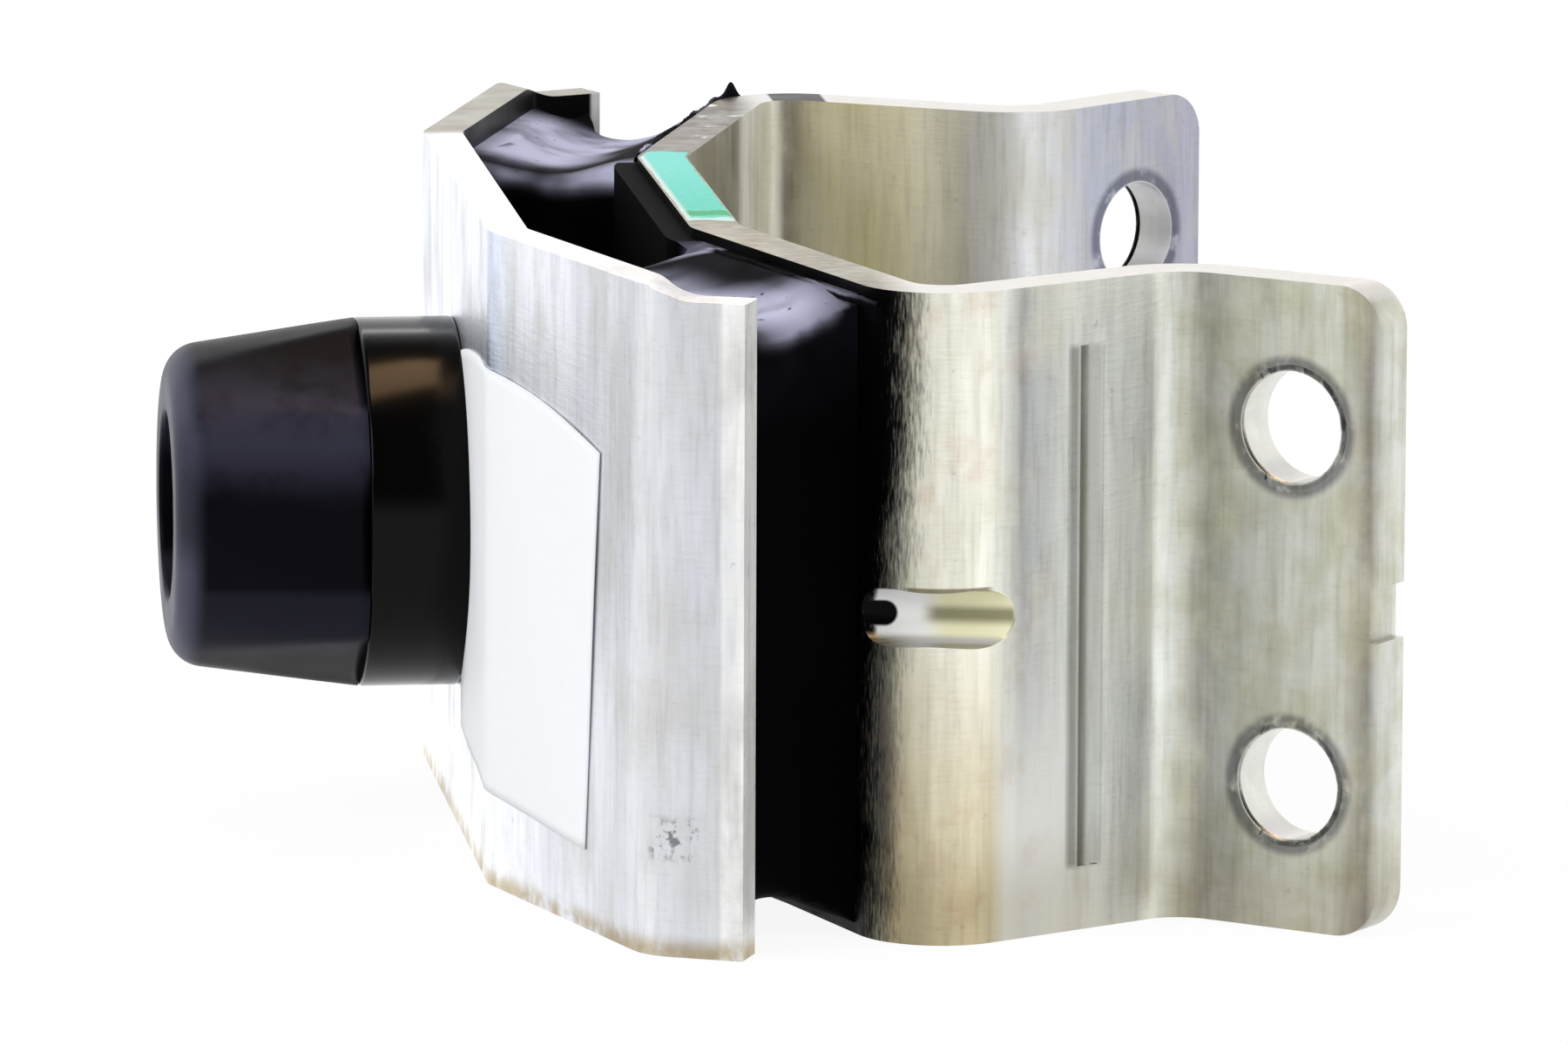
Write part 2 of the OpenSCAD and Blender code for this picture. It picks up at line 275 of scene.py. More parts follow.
def finish_solid(tree, colour, rough, height, bump, depth, specular, more=None):
    """Joins a Principled shader to the output, with the height as a bump of that strength and
    depth. more holds further inputs by name."""
    normal = add(tree, "Bump", {"Strength": bump, "Distance": depth, "Height": height})
    finish_material(tree, add(tree, "BsdfPrincipled", {
        "Base Color": colour, "Roughness": rough, "Normal": normal, "Specular IOR Level": specular,
        **(more or {})}))


def finish_metal(tree, colour, rough, height, plating):
    """Zinc-plated steel where the plating mask is 1, and something dull on it where it is 0."""
    finish_solid(tree, colour, rough, height, bump=0.12, depth=0.2 * MM, specular=0.05,
                 more={"Metallic": plating})


def rolled_sheet(tree, coords, colour, dark, tint, stain):
    """Zinc plate on cold-rolled sheet over a ground colour: draw marks along the folds, the
    rolling grain across them, cloudy passivation and specks. The grain and the fine marks are
    drawn coarser than real ones, so that they show. Gives colour, roughness and height."""
    streaks = noise(tree, coords, 2.6 * MM, stretch=(1, 1, 18))
    fine = noise(tree, coords, 0.7 * MM, detail=2.0, stretch=(1, 1, 12))
    grain = noise(tree, coords, 0.4 * MM, detail=2.0, stretch=(6, 6, 1))
    clouds = noise(tree, coords, 8 * MM, detail=5.0, rough=0.62, stretch=(1, 1, 1.7))
    specks = noise(tree, coords, 1.2 * MM, detail=4.0, rough=0.7)
    colour = shaded(tree, times(tree, between(tree, streaks, 0.36, 0.72), 0.5), colour, dark)
    colour = tinted(tree, times(tree, between(tree, clouds, 0.42, 0.7), 0.5), colour, tint)
    colour = shaded(tree, times(tree, between(tree, fine, 0.45, 0.75), 0.35), colour, dark)
    colour = shaded(tree, times(tree, between(tree, grain, 0.5, 0.8), 0.18), colour, dark)
    colour = tinted(tree, times(tree, between(tree, specks, 0.62, 0.76), 0.4), colour, stain)
    rough = add(tree, "MapRange", {0: clouds, 1: 0.3, 2: 0.75, 3: 0.3, 4: 0.46})
    height = add(tree, "Math", {0: fine, 1: specks, 2: grain}, operation="MULTIPLY_ADD")
    return colour, rough, height


def bluish_zinc():
    """Zinc plate with clear, slightly blue passivation on rolled sheet: pale satin metal, with a
    painted cool shade high on the web, burred lip ends painted white as a highlight, a painted
    brownish shade along the lower edge, a scrape low on the near lip, painted shade on the far
    side's top edge and black bonding primer behind the rubber."""
    made, tree = new_material("bluish_zinc_plate")
    at = surface_place(tree)
    # The stops are the plate's tone with painted light in it: lightest on the web, darker along the
    # leg towards the lip, and a painted highlight on the lip's burred end from 18.8 mm.
    tone_and_painted_light = zones(tree, at.x, [
        (-0.4, "f2f4f7"), (0.4, "f4f6f9"), (1.4, "ebedf2"), (2.8, "e2e4ea"), (5, "dddfe5"),
        (7.5, "d3d5db"), (10, "cbcdd2"), (12, "d6d7da"), (13.5, "cccdd2"), (16.5, "c5c7cd"),
        (18.3, "c9cbce"), (18.8, "f4f4f4"), (20.4, "fbfbf8"), (22.4, "fbfbf8")])
    colour, rough, height = rolled_sheet(tree, at.coords, tone_and_painted_light, linear("d6d7da"),
                                         linear("b5b4ad"), linear("9a9ca2"))
    # Painted cool shade high on the web.
    cool_shade = times(tree, at.away, between(tree, at.z, 8 * MM, 20 * MM),
                 between(tree, at.x, 2.4 * MM, 0.2 * MM))
    colour = shaded(tree, cool_shade, colour, linear("dde2f0"))
    shade_mottle = noise(tree, at.coords, 4 * MM, detail=4.0)
    # Painted brownish shade along the lower edge, mottled.
    foot_shade = times(tree, between(tree, at.z, FLOOR_Z + 2.6 * MM, FLOOR_Z + 0.4 * MM),
                 between(tree, shade_mottle, 0.32, 0.55))
    colour = shaded(tree, foot_shade, colour, linear("cdbd9c"))
    flecks = noise(tree, at.coords, 1.6 * MM, detail=3.0, rough=0.7)
    scrape = times(tree, between(tree, flecks, 0.5, 0.62),
                   band(tree, at.z, -22 * MM, -20 * MM, 1.6 * MM),
                   band(tree, at.x, 12.6 * MM, 15.8 * MM, 1 * MM), between(tree, at.y, 0, -1 * MM))
    colour = shaded(tree, times(tree, scrape, 0.8), colour, linear("6f7176"))
    # Painted shade on the far side's top edge, mottled.
    far_top_shade = times(tree, between(tree, at.up, 0.6, 0.85), between(tree, at.y, 30 * MM, 34 * MM))
    colour = tinted(tree, far_top_shade, colour, tinted(tree, shade_mottle, linear("5d5b50"), linear("9a978b")))
    primer = times(tree, inverse(tree, at.away), between(tree, at.wide, 33 * MM, 34 * MM),
                   between(tree, at.up, 0.6, 0.4), between(tree, at.x, 21.4 * MM, 20.9 * MM))
    colour = tinted(tree, primer, colour, linear(BLACK_PRIMER))
    # Dulled on the lip's burred end, so that the white of the stops there shows as a painted
    # highlight.
    burred_highlight = times(tree, between(tree, at.x, 18.4 * MM, 19 * MM), between(tree, at.up, 0.6, 0.4),
                   between(tree, flecks, 0.15, 0.42))
    plating = times(tree, inverse(tree, primer), inverse(tree, times(tree, burred_highlight, 0.75)))
    finish_metal(tree, colour, rough, height, plating)
    return made


def outer_face_tints(tree, at, blush, colour):
    """Tints on the outer faces: browner low on the shoulder bend, greyer low beside it, darker
    towards the bottom, faint pinkish blotches up to the groove and olive ones behind the waist."""
    lower = times(tree, at.away, between(tree, at.z, 6 * MM, -26 * MM), 0.8)
    colour = shaded(tree, times(tree, lower, band(tree, at.x, 36 * MM, 46 * MM, 2 * MM)), colour,
                    linear("ded2b6"))
    colour = tinted(tree, times(tree, lower, band(tree, at.x, 47 * MM, 52.4 * MM, 2 * MM)), colour,
                    linear("cacbc7"))
    colour = shaded(tree, times(tree, between(tree, at.z, -20 * MM, -30 * MM), 0.7), colour,
                    linear("d2cbbd"))
    blushed = times(tree, at.away, between(tree, blush, 0.54, 0.66),
                    between(tree, at.x, 58 * MM, 48 * MM))
    colour = shaded(tree, times(tree, blushed, 0.32), colour, linear("efd9d3"))
    olive = times(tree, at.away, between(tree, blush, 0.34, 0.7),
                  between(tree, at.x, 60 * MM, 66 * MM))
    return shaded(tree, times(tree, olive, 0.6), colour, linear("dcdcc6"))


def groove_shade(tree, at, colour):
    """Upright groove of a leg's outer face: a little darker than the sheet, most in its front
    corner."""
    tall = times(tree, at.away, band(tree, at.z, INNER_MID_Z - GROOVE_HALF,
                                     INNER_MID_Z + GROOVE_HALF, 1 * MM))
    inside = band(tree, at.x, GROOVE_X + 0.3 * MM, GROOVE_X + 3.5 * MM, 0.3 * MM)
    corner = band(tree, at.x, GROOVE_X, GROOVE_X + 0.7 * MM, 0.3 * MM)
    colour = shaded(tree, times(tree, tall, inside), colour, linear("d9d9d7"))
    return shaded(tree, times(tree, tall, corner, 0.6), colour, linear("b4b5b4"))


def hole_distance(tree, at):
    """Distance from the axis of the nearer bolt hole of an ear, the same on both of its faces."""
    run, spread = math.cos(math.radians(EAR_ANGLE)), math.sin(math.radians(EAR_ANGLE))
    ear_end = inner_half(1)[-1]
    hole_at = ear_end[0] * run + ear_end[1] * spread - HOLE_EDGE
    along = add(tree, "Math", {0: at.x, 1: run, 2: -hole_at}, operation="MULTIPLY_ADD")
    along = add(tree, "Math", {0: at.wide, 1: spread, 2: along}, operation="MULTIPLY_ADD")
    level = add(tree, "Math", {0: at.rise, 1: HOLE_PITCH / 2}, operation="SUBTRACT")
    return span(tree, along, level)


def hole_marks(tree, at, patchiness, colour):
    """Paler bores, and a dark ring round each hole, broken up in places."""
    distance = hole_distance(tree, at)
    bore = between(tree, distance, HOLE_R + 0.14 * MM, HOLE_R + 0.04 * MM)
    colour = tinted(tree, times(tree, bore, 0.45), colour, linear("f6f6f2"))
    ring = times(tree, between(tree, distance, HOLE_R + 1.9 * MM, HOLE_R + 0.9 * MM),
                 between(tree, distance, HOLE_R - 0.1 * MM, HOLE_R + 0.3 * MM),
                 between(tree, patchiness, 0.25, 0.5))
    return shaded(tree, times(tree, ring, 0.85), colour, linear("94949e"))


def slot_distance(tree, at, end):
    """Distance from the line that runs along -X from X = end, level with the dart's middle."""
    beyond = add(tree, "Math", {0: at.x, 1: end}, operation="SUBTRACT")
    beyond = add(tree, "Math", {0: beyond, 1: 0.0}, operation="MAXIMUM")
    return span(tree, beyond, at.rise)


def dart_mask(tree, at):
    """1 on the dart, a slot that opens towards the web and ends in a half circle."""
    return times(tree, at.away, between(tree, at.x, DART_START, DART_START + 0.6 * MM), between(
        tree, slot_distance(tree, at, DART_END), DART_HALF + 0.2 * MM, DART_HALF - 0.2 * MM))


def painted_dart_light(tree, at, dart, colour):
    """Dart painted white as a highlight, straw-coloured towards its round end, with painted shade
    along its middle there and a painted shadow in the crease above it."""
    # Painted highlight: white, turning straw-coloured towards the round end.
    highlight_colour = tinted(tree, between(tree, at.x, 38.5 * MM, 41.5 * MM), linear("ffffff"),
                    linear("fbf9d2"))
    colour = tinted(tree, dart, colour, highlight_colour)
    # Painted shade along the dart's middle.
    middle_shade = times(tree, dart, between(tree, at.x, 38.5 * MM, 40.5 * MM),
                   between(tree, at.rise, 1.3 * MM, 0.2 * MM))
    colour = shaded(tree, middle_shade, colour, linear("9c9b92"))
    # Painted shadow in the crease above the dart.
    crease_shadow = times(tree, at.away, band(tree, at.rise, DART_HALF + 0.1 * MM, DART_HALF + 0.4 * MM,
                                       0.2 * MM),
                   band(tree, at.x, 37.4 * MM, 44.6 * MM, 1 * MM), between(tree, at.z, 0, 1 * MM))
    return shaded(tree, crease_shadow, colour, linear("9a9688"))


def sheared_edge(tree, at, blush, patchiness):
    """Colour of the inner bracket's top edge: brownish with shear marks on the web and near leg,
    darker and mottled with bare spots on the far leg, and pale grey beyond the shoulders."""
    marks = noise(tree, at.coords, 0.5 * MM, detail=3.0, stretch=(5, 1, 1))
    edge = tinted(tree, between(tree, marks, 0.4, 0.6), linear("8f8a76"), linear("645f4f"))
    mottled = tinted(tree, between(tree, patchiness, 0.35, 0.6), linear("3d3830"), linear("6b6458"))
    mottled = tinted(tree, between(tree, blush, 0.6, 0.68), mottled, linear("d6d4cc"))
    edge = tinted(tree, between(tree, at.y, 22 * MM, 24 * MM), edge, mottled)
    return tinted(tree, between(tree, at.x, 34 * MM, 39 * MM), edge, linear("c1c0bd"))


def brushed_rim(tree, at):
    """Black bonding primer on the leg's outer face, brushed out past the rubber: its rim wanders
    and frays along slanting strokes, and reaches further in the upper half."""
    strokes = noise(tree, at.coords, 0.24 * MM, detail=4.0, rough=0.65, stretch=(1, 1, 7),
                    turn=(0, math.radians(48), 0))
    patches = noise(tree, at.coords, 6 * MM, detail=3.0)
    rim = add(tree, "Math", {0: strokes, 1: 5.4 * MM, 2: at.x}, operation="MULTIPLY_ADD")
    rim = add(tree, "Math", {0: patches, 1: 2 * MM, 2: rim}, operation="MULTIPLY_ADD")
    upper = add(tree, "MapRange", {0: at.z, 1: -10 * MM, 2: 18 * MM, 3: 0.0, 4: 2.4 * MM})
    rim = add(tree, "Math", {0: rim, 1: upper}, operation="SUBTRACT")
    return times(tree, between(tree, rim, 40.8 * MM, 36.9 * MM), at.away,
                 between(tree, at.wide, 25 * MM, 26 * MM))


def primed(tree, at, dart, sheared):
    """Where the inner bracket is black: primer on the web's front and along the legs but not on
    the dart, rubber in the notch at the dart's mouth, and a dab on the far leg's top edge."""
    notch = times(tree, at.away, between(tree, at.x, 33 * MM, 33.6 * MM), between(
        tree, slot_distance(tree, at, NOTCH_END), NOTCH_R + 0.3 * MM, NOTCH_R))
    brushed = times(tree, brushed_rim(tree, at), inverse(tree, dart))
    primer = either(tree, brushed, notch, between(tree, at.x, INNER_X + 1.6 * MM, INNER_X + 1 * MM))
    dab = times(tree, sheared, band(tree, at.x, 39.8 * MM, 44.9 * MM, 0.4 * MM),
                between(tree, at.y, 0, 1 * MM))
    return either(tree, times(tree, primer, inverse(tree, sheared)), dab)


def yellowish_zinc():
    """Zinc plate with an olive to straw passivation, with painted highlights and painted shade along
    the bends and painted reflections on the inside, which is half dulled. It has marked holes,
    darts painted white as a highlight, a sheared top edge and black bonding primer beside the
    rubber."""
    made, tree = new_material("yellowish_zinc_plate")
    at = surface_place(tree)
    # Outer faces: the plate's tone with painted light in it, with painted highlights on the shoulder
    # bend near 40.5 to 44 mm and on the waist near 62.3 mm.
    outside = zones(tree, at.x, [
        (34, "aeaca0"), (37.5, "bfbdb0"), (40.5, "e4e4d9"), (44, "e8e7dc"), (46.4, "d0d2cb"),
        (48.4, "979999"), (50.4, "aaacab"), (52.6, "bfc1be"), (55, "c8cac7"), (58, "c9cbc8"),
        (61.2, "cbcecb"), (62.3, "eaece7"), (63.8, "d6dad7"), (65.2, "bfbfb7"), (66.8, "9f9d97"),
        (69, "a4a59f"), (74, "b7b8b0"), (78.5, "c7c9c2"), (80.6, "a29f96"), (81.4, "87847e"),
        (82.1, "b3b4af"), (84.4, "d0d1cd")])
    # Inner faces: the plate's tone with painted light in it: a painted highlight on the shoulder
    # from 35.2 to 38 mm, painted shade just past it near 40.9 mm, and painted reflections,
    # silver-white by the waist and lavender along the ear.
    inside = zones(tree, at.x, [
        (26, "a19d94"), (31, "9c988f"), (33.5, "807d76"), (34.3, "a19e96"), (35.2, "ffffff"),
        (38, "f4f4ea"), (39.6, "d9d8cb"), (40.9, "7d7668"), (43, "b2ab91"), (46, "d2caa2"),
        (49, "d6cea4"), (51.6, "f5efca"), (55, "f4f0d8"), (58, "d2d0c2"), (60, "cccccb"),
        (63, "e6e7ea"), (65, "f0f2f5"), (68, "cdd0d9"), (72, "b4b7c6"), (78, "a9acba"),
        (84, "acacbc")])
    tone_and_painted_light = tinted(tree, at.away, inside, outside)
    colour, rough, height = rolled_sheet(tree, at.coords, tone_and_painted_light, linear("d2d1cb"),
                                         linear("c6c4b2"), linear("85837a"))
    blush = noise(tree, at.coords, 5 * MM, detail=3.0)
    patchiness = noise(tree, at.coords, 2.2 * MM, detail=3.0)
    colour = outer_face_tints(tree, at, blush, colour)
    colour = groove_shade(tree, at, colour)
    colour = hole_marks(tree, at, patchiness, colour)
    dart = dart_mask(tree, at)
    colour = painted_dart_light(tree, at, dart, colour)
    sheared = between(tree, at.up, 0.6, 0.85)
    colour = tinted(tree, sheared, colour, sheared_edge(tree, at, blush, patchiness))
    primer = primed(tree, at, dart, sheared)
    colour = tinted(tree, primer, colour, linear(BLACK_PRIMER))
    # The inside is half dulled so that its painted light shows, and the dart so that its painted
    # highlight shows white.
    dull_inside = times(tree, inverse(tree, at.away), between(tree, at.x, 28 * MM, 33 * MM), 0.45)
    dulled = either(tree, dull_inside, times(tree, dart, 0.9), primer)
    finish_metal(tree, colour, rough, height, inverse(tree, dulled))
    return made


def leg_gap(tree, at):
    """How far a point lies in front of the inner bracket's leg, square to it."""
    across, along = math.sin(math.radians(LEG_ANGLE)), math.cos(math.radians(LEG_ANGLE))
    gap = add(tree, "Math", {0: at.x, 1: -across, 2: INNER_X * across - INNER_HALF_WEB * along},
              operation="MULTIPLY_ADD")
    return add(tree, "Math", {0: at.wide, 1: along, 2: gap}, operation="MULTIPLY_ADD")


def moulded_rubber():
    """Natural rubber from a steel mould: nearly black and dull on its walls, with a faint painted
    sheen high up. Where it looks up it carries a painted lavender highlight, strongest near the
    outer bracket and along the rim of the void, and broken up elsewhere."""
    made, tree = new_material("moulded_natural_rubber")
    at = surface_place(tree)
    patches = noise(tree, at.coords, 9 * MM, detail=2.0)
    spots = noise(tree, at.coords, 2 * MM, detail=3.0, rough=0.7)
    grain = noise(tree, at.coords, 0.7 * MM, detail=3.0)
    outward = add(tree, "MapRange", {0: at.wide, 1: 44 * MM, 2: 54 * MM, 3: 0.0, 4: 6 * MM})
    outward = add(tree, "Math", {0: outward, 1: leg_gap(tree, at)}, operation="ADD")
    saddle = times(tree, between(tree, at.wide, 31 * MM, 40 * MM),
                   between(tree, at.wide, 67 * MM, 57 * MM), between(tree, outward, 4 * MM, 12 * MM))
    rim = band(tree, at.wide, 27.6 * MM, 31 * MM, 1.6 * MM)
    # Painted lavender highlight where the faces look up, over the saddles and the void's rim.
    painted_sheen = times(tree, either(tree, saddle, rim), between(tree, at.up, 0.05, 0.5),
                between(tree, patches, 0.24, 0.6), between(tree, spots, 0.74, 0.64))
    # Faint painted sheen high up beside the void.
    high_sheen = times(tree, between(tree, at.z, 14 * MM, 27 * MM), between(tree, patches, 0.3, 0.65),
                 between(tree, at.wide, 26 * MM, 32 * MM))
    colour = tinted(tree, patches, linear("020203"), linear("050507"))
    colour = tinted(tree, times(tree, high_sheen, 0.6), colour, linear("16151c"))
    colour = tinted(tree, times(tree, painted_sheen, 0.9), colour, linear("d6d6f2"))
    rough = add(tree, "MapRange", {0: painted_sheen, 1: 0.0, 2: 1.0, 3: 0.7, 4: 0.45})
    finish_solid(tree, colour, rough, grain, bump=0.15, depth=0.2 * MM, specular=0.015)
    return made


def black_enamel():
    """Baked black enamel on turned steel: black with sharp, narrow mirrored lamps. The turning
    marks are drawn coarser than real ones, so that they show."""
    made, tree = new_material("baked_black_enamel")
    coords = add(tree, "TexCoord", out="Object")
    rings = noise(tree, coords, 0.6 * MM, detail=2.0, stretch=(1, 40, 40))
    colour = tinted(tree, rings, linear("020202"), linear("060505"))
    finish_solid(tree, colour, 0.18, rings, bump=0.05, depth=0.1 * MM, specular=0.08)
    return made


def cone_rubber():
    """Hard rubber pressed over the post: satin black, with a cool painted sheen on the upper part
    of its side and, faintly, low down, and a painted highlight round its tip."""
    made, tree = new_material("hard_cone_rubber")
    at = surface_place(tree)
    sheen_and_tone_mottle = noise(tree, at.coords, 5 * MM, detail=4.0)
    grain = noise(tree, at.coords, 0.5 * MM, detail=2.0)
    # Painted cool sheen high on the side, and faintly low down.
    high = times(tree, between(tree, at.z, 2 * MM, 9 * MM), between(tree, at.z, 17 * MM, 11 * MM),
                 between(tree, sheen_and_tone_mottle, 0.15, 0.6), 0.75)
    low = times(tree, band(tree, at.z, -13 * MM, -7 * MM, 1.5 * MM), 0.25)
    radius = span(tree, at.y, at.z)
    # Painted highlight round the tip.
    tip = times(tree, between(tree, at.x, 3.2 * MM - TIP, 0.8 * MM - TIP),
                between(tree, radius, MOUTH_R + 0.2 * MM, MOUTH_R + 0.8 * MM),
                inverse(tree, times(tree, band(tree, at.z, 0, 7 * MM, 5 * MM), 0.6)))
    colour = tinted(tree, sheen_and_tone_mottle, linear("050507"), linear("09090d"))
    colour = tinted(tree, either(tree, high, low), colour, linear("3b3a49"))
    colour = tinted(tree, tip, colour, linear("4b4d5b"))
    rough = add(tree, "MapRange", {0: sheen_and_tone_mottle, 1: 0.3, 2: 0.7, 3: 0.36, 4: 0.44})
    finish_solid(tree, colour, rough, grain, bump=0.06, depth=0.1 * MM, specular=0.045,
                 more={"Specular Tint": linear("d0d4ff")})
    return made


def label_paper():
    """Coated white paper: matt, even, with a trace of fibre, drawn coarser than real fibre."""
    made, tree = new_material("coated_label_paper")
    coords = add(tree, "TexCoord", out="Object")
    fibre = noise(tree, coords, 1.2 * MM, detail=4.0)
    colour = tinted(tree, fibre, linear("fbfdff"), linear("f6f9fb"))
    finish_solid(tree, colour, 0.6, fibre, bump=0.1, depth=0.1 * MM, specular=0.2)
    return made


def marking_paint():
    """Mint marking paint brushed on a sheared edge: satin, dried pale at its rim, thinner and
    greener in a stripe near one end."""
    made, tree = new_material("mint_marking_paint")
    at = surface_place(tree)
    wobble = noise(tree, at.coords, 3 * MM)
    ragged = noise(tree, at.coords, 0.8 * MM, detail=3.0)
    shifted = add(tree, "Math", {0: wobble, 1: 2.5 * MM, 2: at.y}, operation="MULTIPLY_ADD")
    shifted = add(tree, "Math", {0: ragged, 1: 1.2 * MM, 2: shifted}, operation="MULTIPLY_ADD")
    stripe = band(tree, shifted, -15 * MM, -12.6 * MM, 0.8 * MM)
    colour = tinted(tree, between(tree, at.y, -14 * MM, 22 * MM), linear("55d8c0"),
                    linear("78e8da"))
    colour = tinted(tree, times(tree, between(tree, ragged, 0.45, 0.7), 0.4), colour,
                    linear("8ff0de"))
    colour = tinted(tree, times(tree, stripe, 0.9), colour, linear("1fae62"))
    rim = inverse(tree, times(tree, between(tree, shifted, -17.3 * MM, -16.5 * MM),
                              between(tree, at.x, 21.5 * MM, 21.8 * MM)))
    colour = tinted(tree, times(tree, rim, 0.85), colour, linear("e4f6ef"))
    finish_solid(tree, colour, 0.5, wobble, bump=0.2, depth=0.2 * MM, specular=0.15)
    return made


def mesh_piece(name, verts, faces, material, smooth=True):
    """A piece from arrays of corners and faces, merged along its seams, with normals outwards."""
    mesh = bpy.data.meshes.new(name)
    mesh.from_pydata(verts.reshape(-1, 3).tolist(), [], faces)
    work = bmesh.new()
    work.from_mesh(mesh)
    bmesh.ops.remove_doubles(work, verts=work.verts, dist=0.001 * MM)
    bmesh.ops.recalc_face_normals(work, faces=work.faces)
    work.to_mesh(mesh)
    work.free()
    made = bpy.data.objects.new(name, mesh)
    bpy.context.scene.collection.objects.link(made)
    mesh.materials.append(material)
    mesh.polygons.foreach_set("use_smooth", np.full(len(mesh.polygons), smooth))
    return made


def grid_faces(rows, cols, wrap=False):
    """Four-cornered faces of a grid of rows by cols corners, closed across the columns if wrap."""
    row = np.arange(rows - 1)[:, None] * cols
    here = np.arange(cols if wrap else cols - 1)[None, :]
    after = (here + 1) % cols
    faces = np.stack([row + here, row + after, row + cols + after, row + cols + here], -1)
    return faces.reshape(-1, 4).tolist()


def dressed_copy(node, name, material, bevel, reshape=None):
    """A copy of a CAD node with merged corners, which stands for the node. reshape(work) may
    slice the merged mesh and move its corners, and a bevel above 0 softens its sharp edges."""
    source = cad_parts[node]
    mesh = source.data.copy()
    mesh.name = name
    work = bmesh.new()
    work.from_mesh(mesh)
    bmesh.ops.remove_doubles(work, verts=work.verts, dist=0.002 * MM)
    bmesh.ops.dissolve_limit(work, angle_limit=math.radians(0.4), verts=work.verts,
                             edges=work.edges)
    if reshape:
        reshape(work)
    work.to_mesh(mesh)
    work.free()
    mesh.materials.clear()
    mesh.materials.append(material)
    mesh.polygons.foreach_set("use_smooth", np.ones(len(mesh.polygons), bool))
    mesh.set_sharp_from_angle(angle=math.radians(SHARP_ANGLE))
    made = bpy.data.objects.new(name, mesh)
    bpy.context.scene.collection.objects.link(made)
    if bevel:
        edge = made.modifiers.new("softened edges", "BEVEL")
        edge.width = bevel
        edge.segments = 3
        edge.limit_method = "ANGLE"
        edge.angle_limit = math.radians(SHARP_ANGLE)
        edge.use_clamp_overlap = True
    flatter = made.modifiers.new("flat faces stay flat", "WEIGHTED_NORMAL")
    flatter.mode = "FACE_AREA"
    flatter.weight = 100
    flatter.keep_sharp = not bevel
    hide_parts(node)
    return made


def sliced(work, normal, places):
    """Cuts every face along planes with that normal at those distances from the origin."""
    for place in places:
        geometry = list(work.verts) + list(work.edges) + list(work.faces)
        bmesh.ops.bisect_plane(work, geom=geometry, dist=0.0001 * MM, plane_no=normal,
                               plane_co=Vector(normal).normalized() * place)


def rolled_lip_corner(work):
    """Turns the step between a leg and its lip into a curve: at distance u past the start of
    the lip the top edge lies at OUTER_TOP - LIP_DROP (3 w^2 - 2 w^3), where w is
    (u + ROLL_BEFORE) / (ROLL_BEFORE + ROLL_AFTER), kept between 0 and 1."""
    run, spread = math.cos(math.radians(LIP_ANGLE)), math.sin(math.radians(LIP_ANGLE))
    path = outer_half(1)
    lip_start = path[-1, :2] - (LIP - bend_take(OUTER_BEND_R, LEG_ANGLE - LIP_ANGLE)) * np.array(
        [run, spread])
    start = lip_start[0] * run + lip_start[1] * spread
    half_way_out = 50 * MM
    for side in (1, -1):
        sliced(work, (run, side * spread, 0), start + np.linspace(-ROLL_BEFORE, ROLL_AFTER, 13))
    for corner in work.verts:
        x, y, z = corner.co
        if z > OUTER_TOP - LIP_DROP - 0.01 * MM and abs(y) > half_way_out:
            u = x * run + abs(y) * spread - start
            w = min(max((u + ROLL_BEFORE) / (ROLL_BEFORE + ROLL_AFTER), 0), 1)
            corner.co.z = OUTER_TOP - LIP_DROP * (3 * w * w - 2 * w ** 3)
    bmesh.ops.remove_doubles(work, verts=work.verts, dist=0.02 * MM)


def rounded_spring_rims(work):
    """Rounds the rims of the spring's saddles. The faces near a rim are sliced finely, and each
    corner there goes ROUNDS times half way to the mean of its neighbours, times a weight that
    grows from 0 at the zone's border, and near the brackets' faces, to 1 at the rim."""
    pitch = 0.8 * MM
    lowest, highest = 22 * MM, 29.9 * MM
    border, held_over = 2 * MM, 1.5 * MM
    for low, end in (VOID_RIM, LIP_RIM):
        for side in (1, -1):
            sliced(work, (0, side, 0), np.arange(low, end, pitch))
    for side in (1, -1):
        sliced(work, (0, 0, side), np.arange(lowest, highest, pitch) + side * INNER_MID_Z)
    work.verts.index_update()
    place = np.array([corner.co for corner in work.verts])
    pairs = np.array([[edge.verts[0].index, edge.verts[1].index] for edge in work.edges])
    count = np.bincount(pairs.ravel(), minlength=len(place))[:, None]
    x, wide, high = place[:, 0], np.abs(place[:, 1]), np.abs(place[:, 2] - INNER_MID_Z)
    across, along = math.sin(math.radians(LEG_ANGLE)), math.cos(math.radians(LEG_ANGLE))
    gap = (wide - INNER_HALF_WEB) * along - (x - INNER_X) * across
    full = (OUTER_HALF_WEB - INNER_HALF_WEB) * along + INNER_X * across - OUTER_T
    free = np.clip(np.minimum(gap, full - gap) / held_over - 0.3, 0, 1)
    free = free * np.clip((x - OUTER_T) / held_over - 0.3, 0, 1)
    zone = np.zeros(len(place))
    for low, end in (VOID_RIM, LIP_RIM):
        zone = np.maximum(zone, np.clip(np.minimum(wide - low, end - wide) / border, 0, 1))
    weight = (0.5 * free * zone * np.clip((high - lowest) / (3 * MM), 0, 1))[:, None]
    for _ in range(ROUNDS):
        total = np.zeros_like(place)
        np.add.at(total, pairs[:, 0], place[pairs[:, 1]])
        np.add.at(total, pairs[:, 1], place[pairs[:, 0]])
        place = place + weight * (total / count - place)
    for corner, moved in zip(work.verts, place.tolist()):
        corner.co = moved


